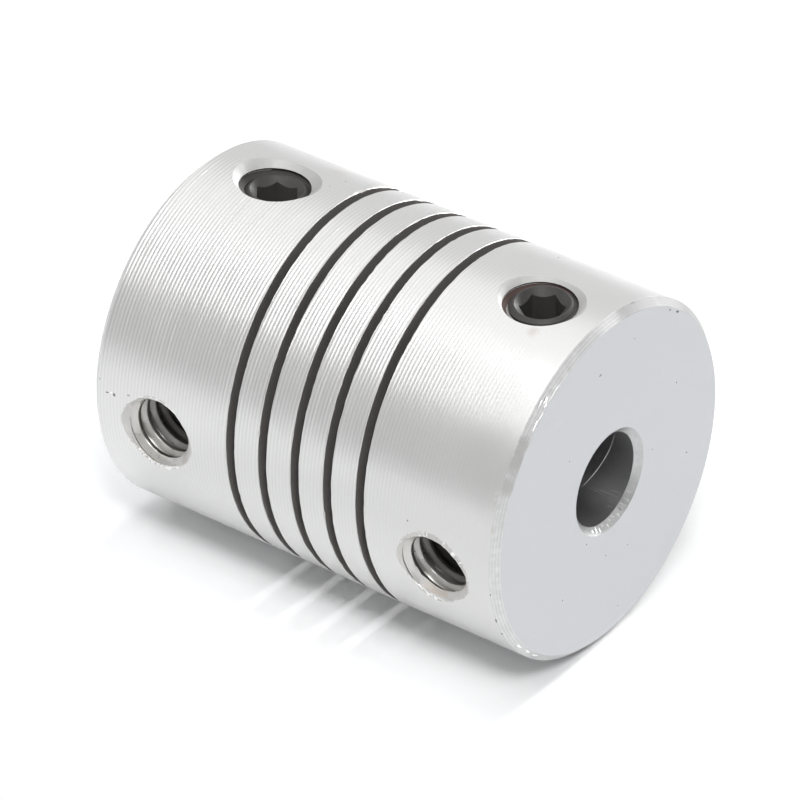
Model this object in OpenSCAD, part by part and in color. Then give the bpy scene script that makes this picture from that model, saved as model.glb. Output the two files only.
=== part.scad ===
// One-piece helical beam shaft coupling with its four set screws, in millimetres.
// The shaft axis is Z. The coupling stands on the end of its lower hub, at z = 0.

/* [Body] */
// Outside diameter of the body
body_d = 19; // [18:0.5:22]
// Length of the body along the shaft axis
body_len = 25; // [24.5:0.5:30]
// Chamfer on the outer edge of both ends
end_chamfer = 0.4; // [0.2:0.05:0.7]

/* [Shaft bore] */
// Diameter of the bore that runs from end to end
bore_d = 5; // [4.5:0.25:6.5]
// Chamfer on both mouths of the bore
bore_chamfer = 0.35; // [0.1:0.05:0.6]

/* [Helical slit] */
// Distance from one turn of the slit to the next
slit_pitch = 2; // [1.6:0.1:2.1]
// Width of the slit
slit_w = 0.5; // [0.3:0.05:0.7]
// Number of turns that the slit makes
slit_turns = 5; // [3.5:0.5:5]
// Direction in which the slit crosses the middle of the body, in degrees
slit_angle = -9; // [-180:1:180]

/* [Screw holes] */
// Thread diameter of the set screws
screw_d = 4; // [3, 4]
// Angle between the two screw holes of a hub, in degrees
hole_spread = 96.5; // [90:0.5:100]
// Direction midway between the holes of the upper hub, in degrees
upper_hub_angle = 6.4; // [0:0.1:15]
// Direction midway between the holes of the lower hub, in degrees
lower_hub_angle = 0; // [-10:0.1:10]
// Distance of the upper hub's holes from its end face
upper_hole_dist = 3.85; // [3.4:0.05:4.1]
// Distance of the lower hub's holes from its end face
lower_hole_dist = 4.1; // [3.4:0.05:4.3]
// How much wider than the thread the countersink of upper hole 1 is
upper_sink_1 = 0.45; // [0.1:0.05:0.8]
// How much wider than the thread the countersink of upper hole 2 is
upper_sink_2 = 0.2; // [0.1:0.05:0.8]
// How much wider than the thread the countersink of lower hole 1 is
lower_sink_1 = 0.65; // [0.1:0.05:0.8]
// How much wider than the thread the countersink of lower hole 2 is
lower_sink_2 = 0.3; // [0.1:0.05:0.8]

/* [Set screws] */
// Length of each set screw
screw_len = 4; // [3:0.5:5]
// Gap between a screw and the wall of its hole, all round
thread_gap = 0.05; // [0.02:0.01:0.1]
// Depth of upper screw 1 below the outside of the body
upper_screw_depth = 0.25; // [0.1:0.05:1.5]
// Depth of lower screw 1 below the outside of the body
lower_screw_depth = 0.65; // [0.1:0.05:1.5]
// Gap between the bore and the tips of the two screws that are driven in
tip_gap = 0.4; // [0.2:0.05:0.8]
// Width of the hexagon socket, as a share of the thread diameter
socket_share = 0.5; // [0.45:0.01:0.52]
// Turn of the hexagon of upper screw 1 about its own axis, in degrees
upper_spin_1 = 33; // [0:1:59]
// Turn of the hexagon of upper screw 2 about its own axis, in degrees
upper_spin_2 = 12; // [0:1:59]
// Turn of the hexagon of lower screw 1 about its own axis, in degrees
lower_spin_1 = 7; // [0:1:59]
// Turn of the hexagon of lower screw 2 about its own axis, in degrees
lower_spin_2 = 47; // [0:1:59]

/* [Hidden] */
$fn = 96;

// How far a cutter runs past the surface that it cuts
overrun = 1;
body_r = body_d / 2;
bore_r = bore_d / 2;
hole_r = screw_d / 2;

// Heights and directions of the screw holes
upper_z = body_len - upper_hole_dist;
lower_z = lower_hole_dist;
upper_angle_1 = upper_hub_angle - hole_spread / 2;
upper_angle_2 = upper_hub_angle + hole_spread / 2;
lower_angle_1 = lower_hub_angle - hole_spread / 2;
lower_angle_2 = lower_hub_angle + hole_spread / 2;

// Distance from the shaft axis to the outer face of each screw
upper_face_1 = body_r - upper_screw_depth;
lower_face_1 = body_r - lower_screw_depth;
driven_in_face = bore_r + tip_gap + screw_len;

// Steps of the slit, and the radii between which its cutter runs
slit_step = 12;
slit_steps = round(slit_turns * 360 / slit_step);
slit_inner_r = bore_r / 2;
slit_outer_r = body_r + overrun;

// Set screw: outer chamfer, socket and cup point
shank_r = hole_r - thread_gap;
face_r = screw_d * 0.3625;
face_chamfer = shank_r - face_r;
key_flats = screw_d * socket_share;
key_corners = key_flats / cos(30);
socket_mouth_r = screw_d * 0.345;
socket_depth = screw_len * 0.45;
socket_drill_r = key_flats * 0.475;
cup_r = screw_d * 0.25;
cup_depth = cup_r * tan(31);
tip_chamfer = shank_r - cup_r;

// Corners of the slit's section at one station: inner low, outer low, outer high, inner high
function slit_station(i) =
    let (
        turned = i * slit_step - slit_steps * slit_step / 2,
        a = slit_angle + turned,
        z = body_len / 2 + slit_pitch * turned / 360
    )
    [
        for (corner = [
            [slit_inner_r, -slit_w / 2],
            [slit_outer_r, -slit_w / 2],
            [slit_outer_r, slit_w / 2],
            [slit_inner_r, slit_w / 2]
        ])
            [corner[0] * cos(a), corner[0] * sin(a), z + corner[1]]
    ];

// Two triangles between corners j and j + 1 of stations i and i + 1
function slit_strip(i, j) =
    let (
        a0 = 4 * i + j,
        a1 = 4 * i + (j + 1) % 4,
        b0 = a0 + 4,
        b1 = a1 + 4
    )
    [[a0, a1, b1], [a0, b1, b0]];

// The helical slit, as one ribbon that runs from inside the bore to past the outside
module slit_ribbon() {
    points = [for (i = [0:slit_steps]) each slit_station(i)];
    sides = [for (i = [0:slit_steps - 1], j = [0:3]) each slit_strip(i, j)];
    last = 4 * slit_steps;
    caps = [
        [3, 2, 1],
        [3, 1, 0],
        [last, last + 1, last + 2],
        [last, last + 2, last + 3]
    ];
    polyhedron(points = points, faces = concat(sides, caps));
}

// The turned blank: a cylinder with a chamfer on both outer edges
module blank() {
    rotate_extrude()
        polygon([
            [0, 0],
            [body_r - end_chamfer, 0],
            [body_r, end_chamfer],
            [body_r, body_len - end_chamfer],
            [body_r - end_chamfer, body_len],
            [0, body_len]
        ]);
}

// The shaft bore, with a chamfer at both mouths
module shaft_bore() {
    mouth = bore_chamfer + overrun;
    translate([0, 0, -overrun])
        cylinder(h = body_len + 2 * overrun, d = bore_d);
    translate([0, 0, -overrun])
        cylinder(h = mouth, r1 = bore_r + mouth, r2 = bore_r);
    translate([0, 0, body_len - bore_chamfer])
        cylinder(h = mouth, r1 = bore_r, r2 = bore_r + mouth);
}

// A screw hole from the shaft axis outwards, with a 90 degree countersink
module screw_hole(angle, z, sink) {
    flare = sink / 2 + overrun;
    rotate([0, 0, angle])
        translate([0, 0, z])
            rotate([0, 90, 0]) {
                cylinder(h = body_r + overrun, r = hole_r);
                translate([0, 0, body_r - sink / 2])
                    cylinder(h = flare, r1 = hole_r, r2 = hole_r + flare);
            }
}

// The body: both hubs and the helical beam between them, cut from one bar
module coupling_body() {
    color([0.84, 0.85, 0.87])
        difference() {
            blank();
            shaft_bore();
            screw_hole(upper_angle_1, upper_z, upper_sink_1);
            screw_hole(upper_angle_2, upper_z, upper_sink_2);
            screw_hole(lower_angle_1, lower_z, lower_sink_1);
            screw_hole(lower_angle_2, lower_z, lower_sink_2);
            slit_ribbon();
        }
}

// A hexagon socket set screw with a cup point, its tip at z = 0 and its face on top
module set_screw() {
    difference() {
        rotate_extrude()
            polygon([
                [0, cup_depth],
                [cup_r, 0],
                [shank_r, tip_chamfer],
                [shank_r, screw_len - face_chamfer],
                [face_r, screw_len],
                [0, screw_len]
            ]);
        translate([0, 0, screw_len - socket_depth])
            cylinder(h = socket_depth + overrun, d = key_corners, $fn = 6);
        translate([0, 0, screw_len - socket_mouth_r])
            cylinder(h = socket_mouth_r + overrun, r1 = 0, r2 = socket_mouth_r + overrun);
        translate([0, 0, screw_len - socket_depth - socket_drill_r / 2])
            cylinder(h = socket_drill_r / 2 + overrun / 4, r1 = 0, r2 = socket_drill_r + overrun / 8);
    }
}

// Puts a set screw in its hole, with its face at the given distance from the shaft axis
module seated_screw(angle, z, face, spin) {
    color([0.13, 0.13, 0.14])
        rotate([0, 0, angle])
            translate([face - screw_len, 0, z])
                rotate([0, 90, 0])
                    rotate([0, 0, spin])
                        set_screw();
}

module upper_set_screw_1() {
    seated_screw(upper_angle_1, upper_z, upper_face_1, upper_spin_1);
}

module upper_set_screw_2() {
    seated_screw(upper_angle_2, upper_z, driven_in_face, upper_spin_2);
}

module lower_set_screw_1() {
    seated_screw(lower_angle_1, lower_z, lower_face_1, lower_spin_1);
}

module lower_set_screw_2() {
    seated_screw(lower_angle_2, lower_z, driven_in_face, lower_spin_2);
}

coupling_body();
upper_set_screw_1();
upper_set_screw_2();
lower_set_screw_1();
lower_set_screw_2();
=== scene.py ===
"""Visual model of a one-piece helical beam shaft coupling and its four set screws.

The shaft axis is Z and the coupling stands on the end of its lower hub. Shapes are worked out in
millimetres and scaled to metres when they become finished pieces. The coupling is pictured lying on
its side, so the table is a plane beside the body and the camera is rolled to match.
"""

from __future__ import annotations

import logging
import math
from dataclasses import dataclass, field
from enum import Enum
from itertools import starmap
from typing import Iterable, Sequence

import bpy
import numpy as np
from mathutils import Matrix, Vector

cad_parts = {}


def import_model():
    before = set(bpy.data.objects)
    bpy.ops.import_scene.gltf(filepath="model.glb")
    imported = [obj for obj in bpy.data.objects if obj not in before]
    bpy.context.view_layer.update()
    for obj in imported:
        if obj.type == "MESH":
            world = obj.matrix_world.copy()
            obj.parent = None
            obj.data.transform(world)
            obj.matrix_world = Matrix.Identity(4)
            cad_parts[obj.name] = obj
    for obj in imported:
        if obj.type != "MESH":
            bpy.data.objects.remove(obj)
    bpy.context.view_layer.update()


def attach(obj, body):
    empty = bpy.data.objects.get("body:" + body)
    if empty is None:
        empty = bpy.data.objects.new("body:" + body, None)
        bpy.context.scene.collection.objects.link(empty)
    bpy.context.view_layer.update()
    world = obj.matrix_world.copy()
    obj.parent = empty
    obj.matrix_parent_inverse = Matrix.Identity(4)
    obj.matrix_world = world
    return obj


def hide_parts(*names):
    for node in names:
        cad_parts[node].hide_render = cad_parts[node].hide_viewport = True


LOG = logging.getLogger("coupling")
MM = 0.001
BODY_RADIUS, BODY_LENGTH = 9.5, 25.0
BORE_RADIUS, BORE_CHAMFER = 2.5, 0.35
END_CHAMFER = 0.4
UPPER_Z, LOWER_Z = 21.15, 4.1
HOLE_RADIUS, THREAD_PITCH = 2.0, 0.7
TAP_START = 1.2
SMOOTH_ANGLE = 34.0
AXIS = Vector((0, 0, 1))
Profile = Sequence[tuple[float, float]]
Faces = list[tuple[int, ...]]
Triple = tuple[float, float, float]
Colour = Triple
Socket = bpy.types.NodeSocket


def in_scene(name: str, data: bpy.types.ID) -> bpy.types.Object:
    """Makes an object and links it to the scene.

    Args:
        name: The object's name.
        data: Its mesh, lamp or camera.

    Returns:
        The object.
    """
    made = bpy.data.objects.new(name, data)
    bpy.context.scene.collection.objects.link(made)
    return made


# Meshes


@dataclass
class SolidMesh:
    """A closed mesh in millimetres.

    Attributes:
        points: One row of x, y and z for each corner.
        faces: The corner numbers of each face.
    """

    points: np.ndarray
    faces: Faces

    def moved(self, matrix: Matrix) -> "SolidMesh":
        """Returns a copy that a placement has moved.

        Args:
            matrix: The placement.

        Returns:
            The moved mesh.
        """
        m = np.array(matrix)
        return SolidMesh(self.points @ m[:3, :3].T + m[:3, 3], self.faces)

    def outward(self) -> "SolidMesh":
        """Returns the mesh with its faces turned so that they all look outwards."""
        volume = 0.0
        for face in self.faces:
            a = self.points[face[0]]
            for i in range(1, len(face) - 1):
                volume += float(np.dot(a, np.cross(self.points[face[i]], self.points[face[i + 1]])))
        if volume >= 0:
            return self
        return SolidMesh(self.points, [tuple(reversed(face)) for face in self.faces])

    def as_object(self, name: str) -> bpy.types.Object:
        """Makes a Blender object of the mesh, still in millimetres.

        Args:
            name: The object's name.

        Returns:
            The object, linked to the scene.
        """
        mesh = bpy.data.meshes.new(name)
        mesh.from_pydata(self.points.tolist(), [], self.faces)
        mesh.update()
        return in_scene(name, mesh)


def joined(meshes: Iterable[SolidMesh]) -> SolidMesh:
    """Puts several closed meshes into one.

    Args:
        meshes: The meshes, which don't overlap.

    Returns:
        One mesh that holds them all.
    """
    points: list[np.ndarray] = []
    faces: Faces = []
    count = 0
    for mesh in meshes:
        points.append(mesh.points)
        faces += [tuple(i + count for i in face) for face in mesh.faces]
        count += len(mesh.points)
    return SolidMesh(np.concatenate(points), faces)


def bands(pairs: Iterable[tuple[int, int]], n: int) -> Faces:
    """Joins the sections of a swept solid.

    Args:
        pairs: Numbers of the sections that meet.
        n: Corners of each section.

    Returns:
        The faces between each pair of sections.
    """
    faces: Faces = []
    for here, there in pairs:
        for j in range(n):
            up = (j + 1) % n
            faces.append((here * n + j, there * n + j, there * n + up, here * n + up))
    return faces


def turned_ring(outline: Profile, segments: int) -> SolidMesh:
    """Turns a closed outline that stays clear of the axis into a ring.

    Args:
        outline: Radius and height of each corner.
        segments: Steps round the axis.

    Returns:
        The ring.
    """
    r, z = np.array(outline).T
    angles = np.arange(segments) * 2 * math.pi / segments
    points = np.concatenate([np.stack([r * math.cos(a), r * math.sin(a), z], 1) for a in angles])
    steps = ((k, (k + 1) % segments) for k in range(segments))
    return SolidMesh(points, bands(steps, len(outline))).outward()


def turned_plug(outline: Profile, segments: int, waver: np.ndarray | None = None) -> SolidMesh:
    """Turns an outline that starts and ends on the axis into a plug.

    Args:
        outline: Radius and height of each corner, from the axis to the axis.
        segments: Steps round the axis.
        waver: What each step adds to the radius of every corner, or None.

    Returns:
        The plug.
    """
    ring = outline[1:-1]
    n = len(ring)
    points = [(0.0, 0.0, outline[0][1])]
    for k in range(segments):
        a = k * 2 * math.pi / segments
        extra = 0.0 if waver is None else float(waver[k])
        points += [((r + extra) * math.cos(a), (r + extra) * math.sin(a), z) for r, z in ring]
    points.append((0.0, 0.0, outline[-1][1]))
    last = len(points) - 1
    faces: Faces = []
    for k in range(segments):
        here, there = 1 + k * n, 1 + (k + 1) % segments * n
        faces.append((0, there, here))
        faces += [(here + j, there + j, there + j + 1, here + j + 1) for j in range(n - 1)]
        faces.append((last, here + n - 1, there + n - 1))
    return SolidMesh(np.array(points), faces).outward()


@dataclass(frozen=True)
class ThreadForm:
    """The outline of one turn of a 60 degree thread, as an outside thread.

    Attributes:
        pitch: Distance from one turn to the next.
        root: Radius at the bottom of the groove.
        crest: Radius at the top of the ridge.
        crest_share: Width of the flat top, as a share of the pitch.
        softening: Width of the small flats that break the thread's edges.
    """

    pitch: float
    root: float
    crest: float
    crest_share: float = 0.125
    softening: float = 0.02

    def turn_outline(self) -> list[tuple[float, float]]:
        """Returns the distance along one pitch and the radius of each corner."""
        slope = math.tan(math.radians(30))
        flank = (self.crest - self.root) * slope
        top = self.crest_share * self.pitch
        groove = self.pitch - top - 2 * flank
        s = self.softening
        rise = s / slope * 0.5
        return [
            (0.0, self.root),
            (groove - s, self.root),
            (groove + s * 0.5, self.root + rise),
            (groove + flank - s * 0.5, self.crest - rise),
            (groove + flank + s * 0.5, self.crest),
            (groove + flank + top - s * 0.5, self.crest),
            (groove + flank + top + s * 0.5, self.crest - rise),
            (self.pitch - s * 0.5, self.root + rise),
        ]

    def rod(self, start: float, length: float, segments: int) -> SolidMesh:
        """Makes a threaded rod along Z.

        Args:
            start: Height at which the thread begins.
            length: Length of the rod, which is rounded up to whole turns.
            segments: Steps round the axis.

        Returns:
            The rod. Its ends are stepped, so they belong in the open.
        """
        turn = self.turn_outline()
        m, turns = len(turn), math.ceil(length / self.pitch)
        rows = m * turns + 1
        points = [(0.0, 0.0, start)]
        for i in range(segments):
            a = i * 2 * math.pi / segments
            for row in range(rows):
                along, r = turn[row % m]
                z = start + self.pitch * (i / segments + row // m) + along
                points.append((r * math.cos(a), r * math.sin(a), z))
        points.append((0.0, 0.0, max(p[2] for p in points)))
        low, high = 0, len(points) - 1

        def at(i: int, row: int) -> int:
            """Number of the corner in one column and row."""
            return 1 + i * rows + row

        faces: Faces = []
        for i in range(segments - 1):
            faces += [(at(i, j), at(i + 1, j), at(i + 1, j + 1), at(i, j + 1)) for j in range(rows - 1)]
        end = segments - 1
        for j in range(rows - 1 - m):
            faces.append((at(end, j), at(0, j + m), at(0, j + m + 1), at(end, j + 1)))
        bottom = [at(i, 0) for i in range(segments)] + [at(0, j) for j in range(m, 0, -1)]
        top = [at(i, rows - 1) for i in range(segments)] + [at(end, rows - 1 - j) for j in range(1, m + 1)]
        faces += [(low, b, a) for a, b in zip(bottom, bottom[1:] + bottom[:1])]
        faces += [(high, a, b) for a, b in zip(top, top[1:] + top[:1])]
        return SolidMesh(np.array(points), faces).outward()


def values_of(items: bpy.types.bpy_prop_collection, name: str, width: int = 3) -> np.ndarray:
    """Reads one value of every vertex, face or face corner.

    Args:
        items: The vertices, faces or face corners.
        name: Name of the value.
        width: How many numbers it has. Single numbers are whole.

    Returns:
        One row for each item, or one whole number.
    """
    flat = np.empty(width * len(items), dtype=float if width > 1 else np.int32)
    items.foreach_get(name, flat)
    return flat.reshape(-1, width) if width > 1 else flat


def smoothed_corners(mesh: bpy.types.Mesh) -> np.ndarray:
    """Smooths a mesh and keeps its sharp edges.

    Args:
        mesh: The mesh.

    Returns:
        The normal of each face corner.
    """
    mesh.shade_smooth()
    mesh.set_sharp_from_angle(angle=math.radians(SMOOTH_ANGLE))
    return values_of(mesh.corner_normals, "vector")


class CutKind(Enum):
    """What a cut does with two solids."""

    AWAY = "DIFFERENCE"
    WITH = "UNION"
    SHARED = "INTERSECT"


def cut(work: bpy.types.Object, tool: SolidMesh, kind: CutKind = CutKind.AWAY) -> None:
    """Cuts one solid with another, in place.

    Args:
        work: The object that is cut.
        tool: The solid that cuts it.
        kind: What the cut leaves.
    """
    cutter = tool.as_object("cutter")
    step = work.modifiers.new("cut", "BOOLEAN")
    step.operation = kind.value
    step.solver = "MANIFOLD"
    step.object = cutter
    graph = bpy.context.evaluated_depsgraph_get()
    old, shape = work.data, cutter.data
    work.data = bpy.data.meshes.new_from_object(work.evaluated_get(graph))
    work.modifiers.clear()
    bpy.data.objects.remove(cutter)
    bpy.data.meshes.remove(old)
    bpy.data.meshes.remove(shape)


# Holes, marks and torn edges


@dataclass(frozen=True)
class ScrewHole:
    """One tapped hole of a hub.

    Attributes:
        angle: Direction of the hole, in degrees.
        z: Height of the hole.
        sink: How much wider than the thread the countersink is, where it meets the outside.
        thread_turn: Turn of the thread about its own axis, as a share of a turn.
        raggedness: How far the countersink's edge wanders.
        seed: Number that fixes the wander.
    """

    angle: float
    z: float
    sink: float
    thread_turn: float
    raggedness: float
    seed: int

    def placement(self) -> Matrix:
        """Returns the placement whose Z runs outwards along the hole, from the shaft axis."""
        turn = Matrix.Rotation(math.radians(self.angle), 4, "Z")
        return turn @ Matrix.Translation((0, 0, self.z)) @ Matrix.Rotation(math.pi / 2, 4, "Y")

    def thread_placement(self) -> Matrix:
        """Returns the same placement with the thread's own turn about it."""
        return self.placement() @ Matrix.Rotation(self.thread_turn * 2 * math.pi, 4, "Z")

    def point(self, x: float, y: float, z: float) -> Triple:
        """Returns where a point of the hole's own axes is on the coupling."""
        return tuple(self.placement() @ Vector((x, y, z)))

    def local(self, points: np.ndarray) -> np.ndarray:
        """Returns points in the hole's own axes, with Z outwards along the hole."""
        m = np.array(self.placement().inverted())
        return points @ m[:3, :3].T + m[:3, 3]


HOLES = {
    "upper_1": ScrewHole(-41.85, UPPER_Z, 0.45, 0.30, 0.008, 11),
    "upper_2": ScrewHole(54.65, UPPER_Z, 0.2, 0.10, 0.035, 12),
    "lower_1": ScrewHole(-48.25, LOWER_Z, 0.65, 0.55, 0.010, 13),
    "lower_2": ScrewHole(48.25, LOWER_Z, 0.3, 0.35, 0.03, 14),
}


class Zone(Enum):
    """The kinds of surface on the body, each with its own finish."""

    OUTSIDE = 0
    END_FACE = 1
    END_CHAMFER = 2
    BORE = 3
    BORE_CHAMFER = 4
    SLIT = 5
    THREAD = 6
    COUNTERSINK = 7
    NICK = 8


def directions(angle: float) -> tuple[Vector, Vector]:
    """Returns the directions out from the shaft axis and round it, at an angle in degrees."""
    a = math.radians(angle)
    return Vector((math.cos(a), math.sin(a), 0)), Vector((-math.sin(a), math.cos(a), 0))


@dataclass(frozen=True)
class Mark:
    """A small dent or burr: a slender eight-sided spindle, half sunk in the surface.

    Attributes:
        at: Its middle, in millimetres.
        along: Direction of its length.
        out: Direction out of the surface.
        size: Half its length, half its width and its depth.
        zone: The kind of surface that it shows.
    """

    at: Vector
    along: Vector
    out: Vector
    size: Triple
    # By default a mark shows the slit wall's dark grey, which is painted shade in the dent.
    zone: Zone = Zone.SLIT

    @classmethod
    def on_outside(
        cls, angle: float, z: float, size: Triple, heading: float = 0.0, zone: Zone = Zone.SLIT
    ) -> "Mark":
        """Places a mark on the outside of the body.

        Args:
            angle: Direction from the shaft axis, in degrees.
            z: Height.
            size: Half its length, half its width and its depth.
            heading: Turn of its length away from round the shaft, in degrees.
            zone: The kind of surface that it shows.

        Returns:
            The mark.
        """
        out, round_it = directions(angle)
        turn = math.radians(heading)
        along = round_it * math.cos(turn) + AXIS * math.sin(turn)
        return cls(out * BODY_RADIUS + AXIS * z, along, out, size, zone)

    @classmethod
    def on_end(
        cls, x: float, y: float, size: Triple, heading: float = 0.0, zone: Zone = Zone.SLIT
    ) -> "Mark":
        """Places a mark on the upper end face, its length turned by the heading in degrees."""
        along, _ = directions(heading)
        return cls(Vector((x, y, BODY_LENGTH)), along, AXIS, size, zone)

    @classmethod
    def on_chamfer(
        cls, angle: float, share: float, size: Triple, lean: float = 0.0, zone: Zone = Zone.END_CHAMFER,
    ) -> "Mark":
        """Places a mark on the outer chamfer of the upper end.

        Args:
            angle: Direction from the shaft axis, in degrees.
            share: How far it is from the outside towards the end face.
            size: Half its length, half its width and its depth.
            lean: How far its length leans off the edge.
            zone: The kind of surface that it shows.

        Returns:
            The mark.
        """
        out, round_it = directions(angle)
        height = BODY_LENGTH - END_CHAMFER * (1 - share)
        at = out * (BODY_RADIUS - END_CHAMFER * share) + AXIS * height
        return cls(at, round_it + AXIS * lean, out + AXIS, size, zone)

    @classmethod
    def on_mouth(cls, angle: float, length: float, lean: float) -> "Mark":
        """Places a bright notch that runs down the chamfer of the bore's upper mouth.

        Args:
            angle: Direction from the shaft axis, in degrees.
            length: Half its length.
            lean: How far its length leans round the mouth.

        Returns:
            The mark.
        """
        out, round_it = directions(angle)
        width, depth, share = 0.055, 0.065, 0.45
        height = BODY_LENGTH - BORE_CHAMFER * (1 - share)
        at = out * (BORE_RADIUS + BORE_CHAMFER * share) + AXIS * height
        return cls(at, out + AXIS + round_it * lean, AXIS - out, (length, width, depth), Zone.NICK)

    @classmethod
    def in_bore(cls, angle: float, z: float, size: Triple, lean: float) -> "Mark":
        """Places a bright scratch on the wall of the bore, leaning round it off the shaft's direction."""
        out, round_it = directions(angle)
        return cls(out * BORE_RADIUS + AXIS * z, AXIS + round_it * lean, -out, size, Zone.NICK)

    def spindle(self) -> SolidMesh:
        """Returns the spindle that makes the mark."""
        length, width, depth = self.size
        out = self.out.normalized()
        along = (self.along - out * self.along.dot(out)).normalized()
        side = out.cross(along)
        tips = [along * length, side * width, out * depth, along * -length, side * -width, out * -depth]
        points = np.array([tuple(self.at + tip) for tip in tips])
        faces = [(0, 1, 2), (1, 3, 2), (3, 4, 2), (4, 0, 2), (1, 0, 5), (3, 1, 5), (4, 3, 5), (0, 4, 5)]
        return SolidMesh(points, faces).outward()


@dataclass(frozen=True)
class BoringRidge:
    """The fine ridge that the boring tool left in the bore when it was drawn out.

    Attributes:
        height: How far it stands inwards.
        start: Angle in degrees and height at which it begins.
        stop: Angle in degrees and height at which it ends.
        steps: Steps along it.
    """

    height: float = 0.024
    start: tuple[float, float] = (-112.0, 23.62)
    stop: tuple[float, float] = (-192.0, 22.4)
    steps: int = 60

    def mesh(self) -> SolidMesh:
        """Returns the ridge, rooted in the wall of the bore."""
        points = []
        root, half = BORE_RADIUS + self.height, 1.3 * self.height
        for i in range(self.steps + 1):
            share = i / self.steps
            angle, z = (a + (b - a) * share for a, b in zip(self.start, self.stop))
            a = math.radians(angle)
            rise = self.height * (0.15 + 0.85 * math.sin(math.pi * share) ** 0.5)
            for r, dz in ((root, -half), (root, half), (BORE_RADIUS - rise, 0.0)):
                points.append((r * math.cos(a), r * math.sin(a), z + dz))
        last = 3 * self.steps
        faces: Faces = [(0, 1, 2), (last + 2, last + 1, last)]
        faces += bands(((i, i + 1) for i in range(self.steps)), 3)
        return SolidMesh(np.array(points), faces).outward()


@dataclass(frozen=True)
class TornLip:
    """The torn edge that drilling and tapping left along part of a hole's rim.

    Attributes:
        hole: The hole.
        start: Where it begins, as degrees round the hole's own axis.
        stop: Where it ends.
        overhang: How far it hangs over the hole.
        spread: How far it lies on the outside of the body.
        height: How far it stands out at most.
        seed: Number that fixes its wander.
        under_sink: Whether it is at the foot of the countersink, and not on the outside of the body.
        step: Distance from one section to the next.
    """

    hole: ScrewHole
    start: float
    stop: float
    overhang: float
    spread: float
    height: float
    seed: int
    under_sink: bool = False
    step: float = 0.055

    def wander(self, steps: int) -> np.ndarray:
        """Works out how far each section reaches.

        Args:
            steps: Steps along the lip.

        Returns:
            Rows for the inner edge, the outer edge and the top, as shares of their full reach.
        """
        rough = np.random.default_rng(self.seed).random((3, steps + 3))
        even = (rough[:, :-2] + rough[:, 1:-1] + rough[:, 2:]) / 3
        reach = 0.5 * rough[:, 1:-1] + 0.5 * even
        slow = np.convolve(np.pad(even[0], 3, mode="edge"), np.ones(7) / 7, "valid")
        reach[0] = 0.4 + 0.35 * slow + 0.06 * reach[0]
        return reach

    def rim(self, a: float) -> float:
        """Works out where the hole's edge is.

        Args:
            a: Angle round the hole's own axis, in radians.

        Returns:
            Its distance from the hole's axis.
        """
        if self.under_sink:
            return HOLE_RADIUS
        wide = HOLE_RADIUS + self.hole.sink / 2 + 0.06
        wide -= BODY_RADIUS - math.sqrt(BODY_RADIUS**2 - (wide * math.sin(a)) ** 2)
        return max(HOLE_RADIUS + 0.02, wide) + 0.02

    def surface(self, r: float, y: float) -> float:
        """Works out how far from the shaft axis the metal ends.

        Args:
            r: Distance from the hole's own axis.
            y: Distance from the plane through both axes.

        Returns:
            The distance along the hole.
        """
        if self.under_sink:
            return BODY_RADIUS - self.hole.sink / 2 + max(0.0, r - HOLE_RADIUS)
        return math.sqrt(BODY_RADIUS**2 - y * y)

    def mesh(self) -> SolidMesh:
        """Returns the edge, rooted in the body."""
        arc = abs(math.radians(self.stop - self.start)) * (HOLE_RADIUS + 0.1)
        steps = round(arc / self.step)
        reach = self.wander(steps)
        points = []
        for i in range(steps + 1):
            share = i / steps
            full = math.sin(math.pi * share) ** 0.6
            a = math.radians(self.start + (self.stop - self.start) * share)
            rim = self.rim(a)
            near, far, top = (float(value) for value in reach[:, i])
            section = (
                (rim - self.overhang * 1.6 * near * full - 0.01, 0.01 * top),
                (rim, -0.08),
                (rim + self.spread * (0.35 + 1.1 * far) * full + 0.01, -0.015),
                (rim - 0.3 * self.overhang * near, 0.01 + self.height * top**1.5 * full),
            )
            for r, lift in section:
                x, y = r * math.cos(a), r * math.sin(a)
                points.append(self.hole.point(x, y, self.surface(r, y) + lift))
        last = 4 * steps
        faces: Faces = [(0, 1, 2, 3), (last + 3, last + 2, last + 1, last)]
        faces += bands(((i, i + 1) for i in range(steps)), 4)
        return SolidMesh(np.array(points), faces).outward()


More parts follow.
